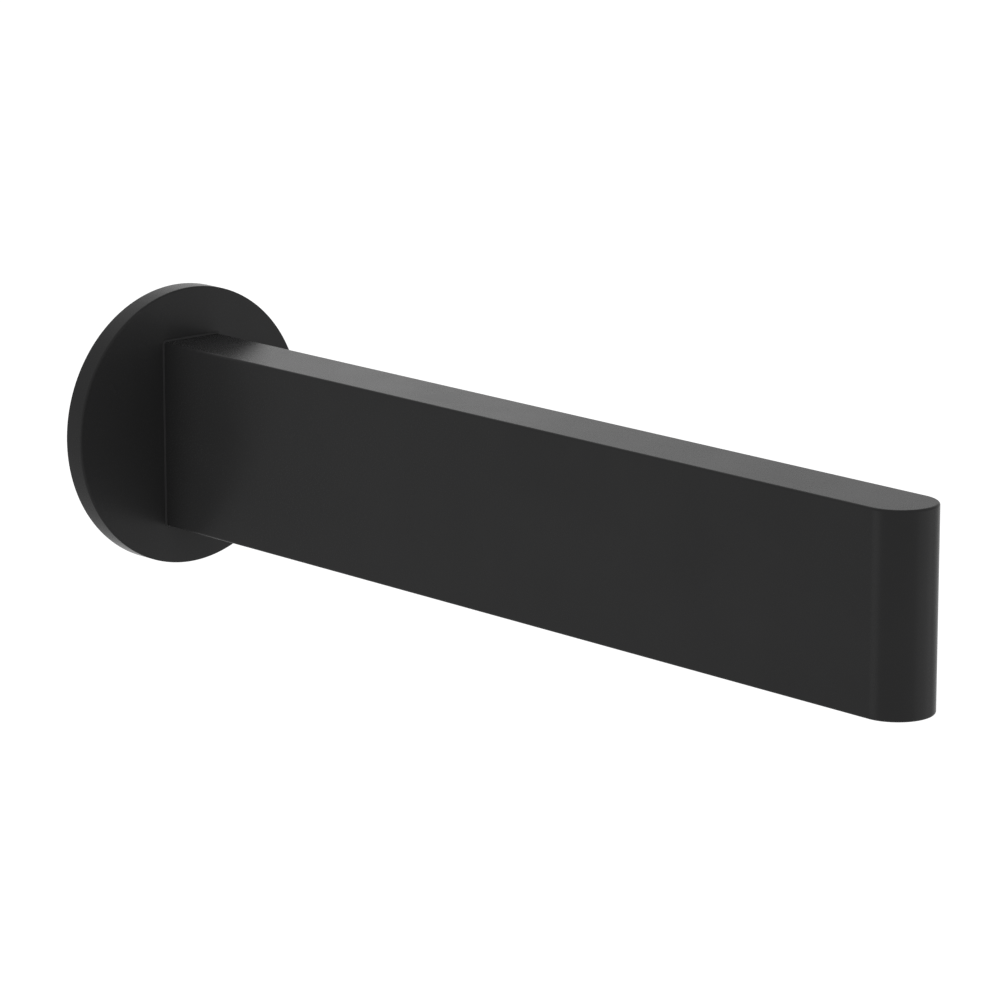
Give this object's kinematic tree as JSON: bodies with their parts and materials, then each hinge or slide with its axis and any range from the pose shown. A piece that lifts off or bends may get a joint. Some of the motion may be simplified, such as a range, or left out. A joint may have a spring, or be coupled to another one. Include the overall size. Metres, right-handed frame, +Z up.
{
  "type": "bath spout",
  "caption": "Wall-mounted bath spout: tall, narrow hollow arm with a half-round tip, round wall rosette, threaded connection nipple and an oblong outlet under the tip.",
  "frame": {"origin": "where the axis of the threaded connection meets the wall plane, which is the rosette's back rim", "axes": "+Y into the wall along the thread, so the arm reaches out along -Y; +Z up"},
  "size_m": [0.06, 0.235, 0.06],
  "materials": {
    "matte_black": "matte black powder coat",
    "rubber": "moulded rubber",
    "foam": "closed-cell foam",
    "brass": "turned",
    "stainless_steel": "plain stainless steel",
    "black_plastic": "moulded, fine grain",
    "grey_plastic": "moulded, satin",
    "white_plastic": "moulded, satin"
  },
  "bodies": {
    "root": {"spout_arm": "matte_black", "rosette": "matte_black", "arm_seal": "rubber", "wall_gasket": "foam", "connection_nipple": "brass", "nipple_o_ring_front": "rubber", "nipple_o_ring_rear": "rubber", "set_screw": "stainless_steel", "outlet_housing": "black_plastic", "outlet_gasket": "rubber", "outlet_grille": "grey_plastic", "jet_plate": "white_plastic", "strainer": "stainless_steel", "outlet_screw_front": "stainless_steel", "outlet_screw_rear": "stainless_steel"}
  },
  "joints": []
}
